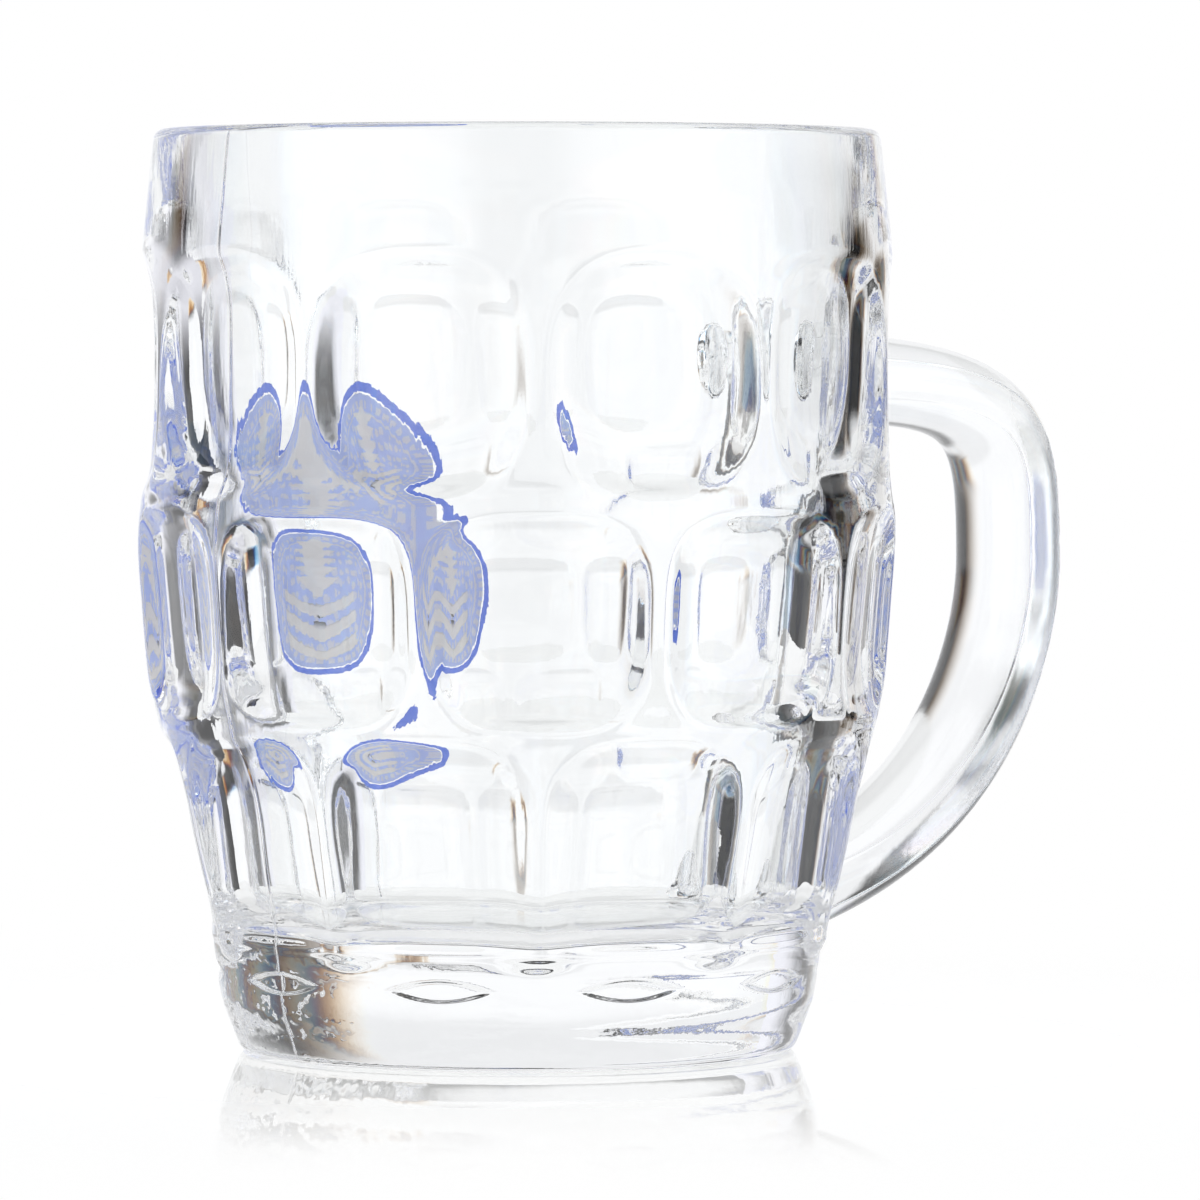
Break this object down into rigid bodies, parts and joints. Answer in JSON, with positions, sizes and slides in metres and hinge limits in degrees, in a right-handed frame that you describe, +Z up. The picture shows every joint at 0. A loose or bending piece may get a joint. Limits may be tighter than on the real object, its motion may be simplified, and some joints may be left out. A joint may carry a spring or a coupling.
{
  "type": "dimpled glass beer mug",
  "caption": "Heavy clear pressed-glass beer mug with a barrel wall of staggered sunk dimples, a plain rim band, a thick flat base, a D-shaped side handle and an enamel panel on the wall.",
  "frame": {"origin": "centre of the flat underside, on the axis of the bowl", "axes": "+Z up along the axis of the bowl, +X from the axis towards the handle, +Y towards the enamel print"},
  "size_m": [0.1429, 0.0999, 0.12],
  "materials": {
    "body_glass": "clear colourless pressed soda-lime glass, fire polished",
    "handle_glass": "clear colourless pressed soda-lime glass, fire polished, with a faint mould seam",
    "border_enamel": "opaque fired enamel, strong blue",
    "field_enamel": "opaque fired enamel, pale violet blue",
    "motif_enamel": "opaque fired enamel, cream"
  },
  "bodies": {
    "root": {"body": "body_glass", "handle": "handle_glass", "print_border": "border_enamel", "print_field": "field_enamel", "print_ear": "motif_enamel", "print_chevron_1": "motif_enamel", "print_chevron_2": "motif_enamel", "print_chevron_3": "motif_enamel"}
  },
  "joints": []
}
